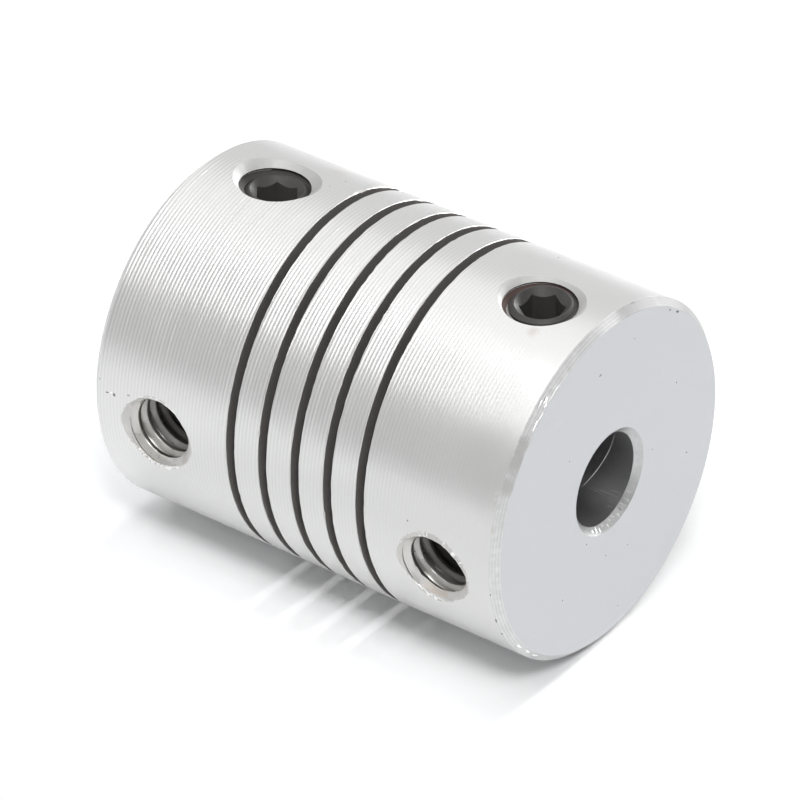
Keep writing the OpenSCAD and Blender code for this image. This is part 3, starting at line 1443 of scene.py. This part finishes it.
@dataclass(frozen=True)
class Pits:
    """Scattered specks on a finish.

    Attributes:
        spacing: Mean distance between the places where one may be, in millimetres.
        share: Share of those places that have one.
        radius: Radius of the largest, in millimetres.
        colour: Colour inside one.
        depth: Depth of the deepest, in millimetres.
        strength: How strongly the colour shows.
    """

    spacing: float
    share: float
    radius: float
    colour: Colour = (0.12, 0.11, 0.10)
    depth: float = 0.006
    strength: float = 0.7


@dataclass(frozen=True)
class Hairlines:
    """Thin scratches on a finish.

    Attributes:
        turn: Direction in which they run, in degrees.
        length: Usual length, in millimetres.
        width: Usual width, in millimetres.
        share: How many there are, from 0 to 1.
        lighten: How much lighter they are than the surface.
        depth: Depth, in millimetres.
    """

    turn: float
    length: float
    width: float
    share: float
    lighten: float
    depth: float = 0.0015


@dataclass(frozen=True)
class StainAndShade:
    """A blotch on a finish. Some are real stains and smudges; others are painted shade, deep in the tapped
    holes and on the back of the upper chamfer.
        radius: Its radius, in millimetres.
        colour: What it tints the surface to.
        strength: How strongly it shows.
        core: Share of the radius that it covers fully.
        raggedness: How ragged its edge is.
        dulling: How much of the metal's shine it takes.
    """

    centre: Triple
    radius: float
    colour: Colour
    strength: float
    core: float = 0.35
    raggedness: float = 0.5
    dulling: float = 0.0


@dataclass(frozen=True)
class MetalFinish:
    """A metal surface, from its colour down to its finest marks."""

    name: str
    colour: Colour
    roughness: float
    metallic: float = 1.0
    specular: float = 0.5
    turning: Turning | None = None
    grain: Grain = Grain()
    pits: tuple[Pits, ...] = ()
    hairlines: tuple[Hairlines, ...] = ()
    stains_and_shade: tuple[StainAndShade, ...] = ()
    edge_tint: float = 1.0

    def material(self) -> bpy.types.Material:
        """Builds the material."""
        made = bpy.data.materials.new(self.name)
        made.use_nodes = True
        g = Graph(made.node_tree)
        place = g.vector("SCALE", g.node("ShaderNodeTexCoord").outputs["Object"])
        place.node.inputs["Scale"].default_value = 1 / MM
        metallic: object = self.metallic
        grain = SHELF.place(g, Effect.GRAIN, place, Size=self.grain.size, Patch=self.grain.patch)
        height = g.mul(grain["Height"], self.grain.depth)
        fine, slow = g.sub(grain["Tone"], 0.5), g.sub(grain["Patches"], 0.5)
        tone = g.mul_add(slow, 2 * self.grain.patch_tone, g.mul_add(fine, 2 * self.grain.tone, 1.0))
        roughness = g.mul_add(g.add(fine, slow), self.grain.roughness, self.roughness)
        if self.turning:
            t = self.turning
            values = {"Pitch": t.pitch, "Unevenness": t.unevenness, "Lower": t.lower, "Upper": t.upper}
            lines = SHELF.place(g, Effect.TURNING, place, Rubbed=t.worn_and_shaded, **values)
            height = g.mul_add(lines["Height"], t.depth, height)
            # Painted shade and highlight of the turning lines, and painted shade on the table's side.
            tone = g.sub(tone, g.mul(lines["PaintedShade"], t.shade))
        for h in self.hairlines:
            values = {"Turn": math.radians(h.turn), "Length": h.length, "Width": h.width, "Share": h.share}
            marks = SHELF.place(g, Effect.SCRATCHES, place, **values)
            tone = g.mul_add(marks["Mask"], h.lighten, tone)
            height = g.sub(height, g.mul(marks["Mask"], h.depth))
        colour = g.vector("MULTIPLY", self.colour, g.combine(tone, tone, tone))
        for stain_and_shade in self.stains_and_shade:
            values = {"Centre": stain_and_shade.centre, "Radius": stain_and_shade.radius, "Core": stain_and_shade.core}
            mask = SHELF.place(g, Effect.STAIN, place, Raggedness=stain_and_shade.raggedness, **values)["Mask"]
            colour = g.blend(g.mul(mask, stain_and_shade.strength), colour, (*stain_and_shade.colour, 1.0))
            if stain_and_shade.dulling:
                dull = g.mul(mask, stain_and_shade.dulling)
                metallic = g.mul(metallic, g.sub(1.0, dull))
                roughness = g.math("MAXIMUM", roughness, g.mul(dull, 0.8))
        for p in self.pits:
            specks = SHELF.place(g, Effect.PITS, place, Spacing=p.spacing, Share=p.share, Radius=p.radius)
            colour = g.blend(g.mul(specks["Mask"], p.strength), colour, (*p.colour, 1.0))
            roughness = g.mul_add(specks["Mask"], 0.2, roughness)
            height = g.sub(height, g.mul(specks["Depth"], p.depth))
        bump = g.node("ShaderNodeBump")
        g.feed(bump.inputs["Distance"], MM)
        g.feed(bump.inputs["Height"], height)
        shader = g.node("ShaderNodeBsdfPrincipled")
        for name, value in (
            ("Base Color", colour),
            ("Roughness", roughness),
            ("Metallic", metallic),
            ("Specular IOR Level", self.specular),
            ("Specular Tint", (self.edge_tint, self.edge_tint, self.edge_tint, 1.0)),
            ("Normal", bump.outputs["Normal"]),
        ):
            g.feed(shader.inputs[name], value)
        g.feed(g.node("ShaderNodeOutputMaterial").inputs[0], shader.outputs[0])
        return made


ALUMINIUM = (0.70, 0.698, 0.694)
# Colour of the painted shade deep in the tapped holes.
HOLE_SHADE_COLOUR = (0.042, 0.037, 0.034)


def painted_hole_shade(
    hole: ScrewHole, reach: float, radius: float, core: float, colour: Colour = HOLE_SHADE_COLOUR, dulling: float = 1.0
) -> StainAndShade:
    """Returns painted shade deep in one tapped hole: a dark, dull patch whose middle is at the given reach
    along it.
    """
    strength, raggedness = 0.94, 0.0
    return StainAndShade(hole.point(0, 0, reach), radius, colour, strength, core, raggedness, dulling)


def dulled(hole: ScrewHole, colour: Colour) -> StainAndShade:
    """Returns the duller metal round the mouth of one hole."""
    mouth = hole.point(0, 0, BODY_RADIUS)
    return StainAndShade(mouth, 3.4, colour, strength=0.85, core=0.8, raggedness=0.35, dulling=0.75)


def smudge(angle: float, z: float, radius: float, strength: float) -> StainAndShade:
    """Returns a faint brown smudge on the outside, at an angle in degrees and a height."""
    out, _ = directions(angle)
    return StainAndShade(tuple(out * BODY_RADIUS + AXIS * z), radius, (0.5, 0.44, 0.37), strength, core=0.0)


BODY_FINISHES = {
    Zone.OUTSIDE: MetalFinish(
        "turned_aluminium",
        ALUMINIUM,
        0.33,
        turning=Turning(0.213, 0.0061, 0.5, 0.14, lower=1.55, upper=0.12, worn_and_shaded=0.7),
        grain=Grain(0.07, 0.0006, 0.03, 4.0, 0.02, 0.08),
        pits=(Pits(1.6, 0.2, 0.05), Pits(0.7, 0.15, 0.03, (0.2, 0.19, 0.18), 0.003, 0.5)),
        stains_and_shade=(smudge(-28.6, 22.15, 0.45, 0.5), smudge(-68.0, 5.6, 0.8, 0.2)),
        edge_tint=0.93,
    ),
    Zone.END_FACE: MetalFinish(
        "faced_aluminium",
        (0.613, 0.621, 0.638),
        0.55,
        turning=Turning(0.09, 0.0002, 0.8, 0.01),
        grain=Grain(0.06, 0.0012, 0.03, 2.5, 0.02, 0.1),
        pits=(Pits(1.5, 0.22, 0.06, (0.25, 0.24, 0.23), 0.005, 0.6),),
        hairlines=(Hairlines(35, 2.0, 0.06, 0.12, 0.06), Hairlines(-50, 1.6, 0.05, 0.08, 0.06)),
    ),
    Zone.END_CHAMFER: MetalFinish(
        "chamfer_aluminium",
        (0.62, 0.62, 0.62),
        0.48,
        turning=Turning(0.11, 0.001, 1.2, 0.12),
        grain=Grain(0.16, 0.003, 0.14, 0.9, 0.1, 0.1),
        stains_and_shade=(
            StainAndShade((9.21, 0.81, 24.75), 0.6, (0.47, 0.465, 0.46), 0.7),
            StainAndShade((9.1, 1.7, 24.8), 0.85, (0.46, 0.455, 0.45), 0.8),
            StainAndShade((8.85, 2.85, 24.75), 0.7, (0.48, 0.475, 0.47), 0.7),
            # These three wide dark, dull patches on the back of the upper chamfer are painted shade that
            # holds down the back strip lamp's highlight there.
            *(
                StainAndShade((x, y, 24.8), 2.4, (0.3, 0.3, 0.3), 0.85, 0.5, 0.2, 0.7)
                for x, y in ((4.66, -8.07), (1.62, -9.18), (-1.3, -9.23))
            ),
        ),
    ),
    Zone.BORE: MetalFinish(
        "bored_aluminium", (0.5, 0.5, 0.505), 0.44, turning=Turning(0.16, 0.0006, 0.9, 0.05)
    ),
    Zone.BORE_CHAMFER: MetalFinish(
        "bore_mouth_aluminium", (0.51, 0.51, 0.51), 0.38, grain=Grain(0.15, 0.003, 0.12, 0.9, 0.14, 0.1)
    ),
    # The slit wall's dark grey is painted shade inside the narrow slit; dents and gouges that keep this
    # finish show it as painted shade too.
    Zone.SLIT: MetalFinish(
        "slit_wall", (0.247, 0.235, 0.229), 0.6, metallic=0.5, grain=Grain(0.09, 0.003, 0.12)
    ),
    Zone.THREAD: MetalFinish(
        "tapped_aluminium",
        (0.58, 0.57, 0.55),
        0.3,
        grain=Grain(0.12, 0.001, 0.06, 0.9, 0.08, 0.1),
        stains_and_shade=(
            # The dark, dull patches deep in each hole are painted shade; the reddish-brown tint of upper
            # hole 1's patch is a stain.
            painted_hole_shade(HOLES["upper_1"], 8.0, 3.6, 0.9, (0.05, 0.018, 0.013)),
            painted_hole_shade(HOLES["lower_1"], 7.8, 3.6, 0.9, (0.016, 0.014, 0.013)),
            painted_hole_shade(HOLES["upper_2"], 5.2, 4.2, 0.6, dulling=0.7),
            painted_hole_shade(HOLES["lower_2"], 4.4, 4.9, 0.5, dulling=0.6),
        ),
    ),
    Zone.COUNTERSINK: MetalFinish(
        "countersunk_aluminium",
        (0.62, 0.612, 0.6),
        0.6,
        grain=Grain(0.12, 0.003, 0.1, 0.6, 0.12, 0.1),
        stains_and_shade=(
            dulled(HOLES["upper_1"], (0.5, 0.5, 0.49)),
            dulled(HOLES["lower_1"], (0.48, 0.48, 0.475)),
            StainAndShade(HOLES["lower_2"].point(0.6, 2.1, 9.2), 1.1, (0.42, 0.34, 0.27), 0.5),
            StainAndShade(HOLES["upper_2"].point(0.2, 2.1, 9.2), 1.2, (0.45, 0.38, 0.31), 0.45),
        ),
    ),
    Zone.NICK: MetalFinish(
        "clean_nick", (0.9, 0.9, 0.9), 0.38, grain=Grain(0.08, 0.002, 0.06, 0.5, 0.06, 0.1)
    ),
}
BLACK_OXIDE = MetalFinish(
    "black_oxide_steel",
    (0.061, 0.0593, 0.0575),
    0.5,
    metallic=0.0,
    specular=0.22,
    grain=Grain(0.06, 0.002, 0.2, 0.7, 0.25, 0.15),
    pits=(Pits(0.35, 0.3, 0.03, (0.16, 0.15, 0.15), 0.002, 0.6),),
)


# Table, lamps and camera


MIDDLE = AXIS * (BODY_LENGTH / 2 * MM)


def aimed(name: str, data: bpy.types.ID, axes: Sequence[Vector], place: Vector) -> None:
    """Makes a lamp or a camera, which looks against the last of its axes.

    Args:
        name: Its name.
        data: The lamp or camera.
        axes: Directions of its own x, y and z.
        place: Where it is, in metres.
    """
    made = in_scene(name, data)
    made.matrix_world = Matrix(axes).transposed().to_4x4()
    made.matrix_world.translation = place


class Table:
    """The white table, a plane that touches the side of the body."""

    UP = Vector((0.7067, -0.7075, 0.0)).normalized()
    FRONT = UP.cross(-AXIS)
    SIZE, GAP = 3.0, 0.004
    PAPER, GLOW_COLOUR, GLOW = (0.94, 0.945, 0.95, 1.0), (0.97, 0.98, 1.0, 1.0), 0.06

    def build(self) -> None:
        """Makes the table."""
        half = self.SIZE / 2
        origin = self.UP * (-(BODY_RADIUS + self.GAP) * MM) + MIDDLE
        side = self.UP.cross(AXIS)
        turns = ((1, -1), (-1, -1), (-1, 1), (1, 1))
        corners = [origin + side * (a * half) + AXIS * (b * half) for a, b in turns]
        mesh = bpy.data.meshes.new("table")
        mesh.from_pydata([tuple(c) for c in corners], [], [(0, 1, 2, 3)])
        mesh.materials.append(self.material())
        in_scene("table", mesh)

    def material(self) -> bpy.types.Material:
        """White paper that keeps the shadow, shows as white, and is clear from behind."""
        made = bpy.data.materials.new("white_table")
        made.use_nodes = True
        g = Graph(made.node_tree)
        matte, glow = g.node("ShaderNodeBsdfDiffuse"), g.node("ShaderNodeEmission", name="glow")
        path = g.node("ShaderNodeLightPath")
        seen = g.add(path.outputs["Is Camera Ray"], path.outputs["Is Glossy Ray"])
        seen = g.math("ADD", seen, path.outputs["Is Transmission Ray"], clamp=True)
        g.feed(matte.inputs["Color"], self.PAPER)
        g.feed(glow.inputs["Color"], self.GLOW_COLOUR)
        g.feed(glow.inputs["Strength"], g.mul(seen, self.GLOW))
        paper = g.fill(g.node("ShaderNodeAddShader"), matte.outputs[0], glow.outputs[0])
        clear = g.node("ShaderNodeBsdfTransparent").outputs[0]
        behind = g.node("ShaderNodeNewGeometry").outputs["Backfacing"]
        either = g.fill(g.node("ShaderNodeMixShader"), behind, paper, clear)
        g.feed(g.node("ShaderNodeOutputMaterial").inputs[0], either)
        return made


@dataclass(frozen=True)
class SoftBox:
    """A soft lamp, placed by its angles about the middle of the coupling.

    Attributes:
        name: The lamp's name.
        rise: Angle over the table, from the camera's side over the top to the back, in degrees.
        lean: Angle towards the upper hub, in degrees.
        width: Angle that it covers across the shaft, in degrees.
        length: Angle that it covers along the shaft, in degrees.
        level: Its brightness, where 1 is white.
        distance: How far it is from the coupling, in metres.
    """

    name: str
    rise: float
    lean: float
    width: float
    length: float
    level: float
    distance: float = 0.5

    def build(self) -> None:
        """Makes the lamp and points it at the coupling."""
        rise, lean = math.radians(self.rise), math.radians(self.lean)
        level_out = Table.FRONT * math.cos(rise) + Table.UP * math.sin(rise)
        out = level_out * math.cos(lean) + AXIS * math.sin(lean)
        along = (AXIS - out * AXIS.dot(out)).normalized()
        size = [2 * self.distance * math.tan(math.radians(a) / 2) for a in (self.width, self.length)]
        lamp = bpy.data.lights.new(self.name, "AREA")
        lamp.shape = "RECTANGLE"
        lamp.size, lamp.size_y = size
        lamp.energy = self.level * math.pi * size[0] * size[1]
        aimed(self.name, lamp, (along.cross(out), along, out), MIDDLE + out * self.distance)


SOFT_BOXES = (
    SoftBox("back_strip", 168, 2.5, 14, 4, 168.0),
    SoftBox("key_box", 60, 24, 10, 16, 26.5),
    SoftBox("key_side_box", 60, 4, 10, 16, 5.2),
    SoftBox("key_upper_box", 70, 24, 10, 16, 7.4),
    SoftBox("key_upper_side_box", 70, 4, 10, 16, 3.9),
    SoftBox("crown_box", 87, 4, 10, 16, 7.8),
    SoftBox("crown_fill_box", 80, -16, 14, 16, 2.8),
    SoftBox("front_fill_box", 59, -16, 28, 16, 2.9),
    SoftBox("far_end_box", 65, -60, 25, 30, 1.2),
    SoftBox("overhead_box", 102, -30, 50, 30, 0.45),
)


class Studio:
    """The room's even light, the lamps and the camera."""

    LENS, SENSOR, CLIP = 281.8, 36.0, (0.01, 10.0)
    PLACE = Vector((270.468, 23.663, 168.361))
    RIGHT = Vector((-0.42472, -0.42428, 0.79975))
    UP = Vector((0.27114, -0.90245, -0.33477))
    BACK = Vector((0.86377, 0.07466, 0.49833))
    NUDGE = 0.025
    LOW_RISE, HIGH_RISE = (28.0, 66.0), (72.0, 106.0)
    LOW_LEVEL, DIM_LEVEL, HIGH_LEVEL, EVEN_LEVEL = 0.66, 0.22, 0.87, 0.05

    def room(self) -> None:
        """Makes the room: white where it is seen, dimmer low down before the table, faint elsewhere."""
        world = bpy.data.worlds.new("room")
        bpy.context.scene.world = world
        world.use_nodes = True
        g = Graph(world.node_tree)
        where = g.node("ShaderNodeTexCoord").outputs["Generated"]
        height, front = (g.vector("DOT_PRODUCT", where, tuple(way)) for way in (Table.UP, Table.FRONT))
        rise = g.mul(g.math("ARCTAN2", height, front), 180 / math.pi)
        low_side = g.ease(rise, *self.LOW_RISE, self.LOW_LEVEL, self.DIM_LEVEL)
        high_side = g.ease(rise, *self.HIGH_RISE, self.DIM_LEVEL, self.HIGH_LEVEL)
        path = g.node("ShaderNodeLightPath")
        seen = g.math("ADD", path.outputs["Is Glossy Ray"], path.outputs["Is Transmission Ray"], clamp=True)
        level = g.mul(seen, g.math("MAXIMUM", low_side, high_side))
        level = g.math("MAXIMUM", level, path.outputs["Is Camera Ray"])
        back = g.node("ShaderNodeBackground")
        g.feed(back.inputs["Color"], (1.0, 1.0, 1.0, 1.0))
        g.feed(back.inputs["Strength"], g.math("MAXIMUM", level, self.EVEN_LEVEL))
        g.feed(g.node("ShaderNodeOutputWorld").inputs[0], back.outputs[0])

    def camera(self) -> None:
        """Makes the camera where the photograph was taken from."""
        lens = bpy.data.cameras.new("camera")
        lens.lens, lens.sensor_width = self.LENS, self.SENSOR
        lens.clip_start, lens.clip_end = self.CLIP
        place = (self.PLACE - self.RIGHT * self.NUDGE + self.UP * self.NUDGE) * MM
        aimed("camera", lens, (self.RIGHT, self.UP, self.BACK), place)
        bpy.context.scene.camera = bpy.data.objects["camera"]

    def build(self) -> None:
        """Makes the room, the lamps and the camera."""
        bpy.context.scene.view_settings.view_transform = "Standard"
        self.room()
        self.camera()
        for box in SOFT_BOXES:
            box.build()


SCREWS = (
    SetScrew("upper_set_screw_1", HOLES["upper_1"], 9.25, 33),
    SetScrew("upper_set_screw_2", HOLES["upper_2"], 6.9, 12),
    SetScrew("lower_set_screw_1", HOLES["lower_1"], 8.85, 7),
    SetScrew("lower_set_screw_2", HOLES["lower_2"], 6.9, 47),
)


def keep(piece: bpy.types.Object, node: str) -> None:
    """Lets a finished piece stand for its node.

    Args:
        piece: The piece.
        node: The node that it replaces.
    """
    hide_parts(node)
    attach(piece, "root")
    LOG.info("%s: %d faces", piece.name, len(piece.data.polygons))


def main() -> None:
    """Builds the pieces, the table, the lamps and the camera in order."""
    logging.basicConfig(level=logging.INFO, format="%(message)s")
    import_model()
    finishes = {zone: finish.material() for zone, finish in BODY_FINISHES.items()}
    body = CouplingBody()
    keep(body.build(finishes), body.name)
    black = BLACK_OXIDE.material()
    for screw in SCREWS:
        keep(screw.build(black), screw.name)
    Table().build()
    Studio().build()


if __name__ == "__main__":
    main()
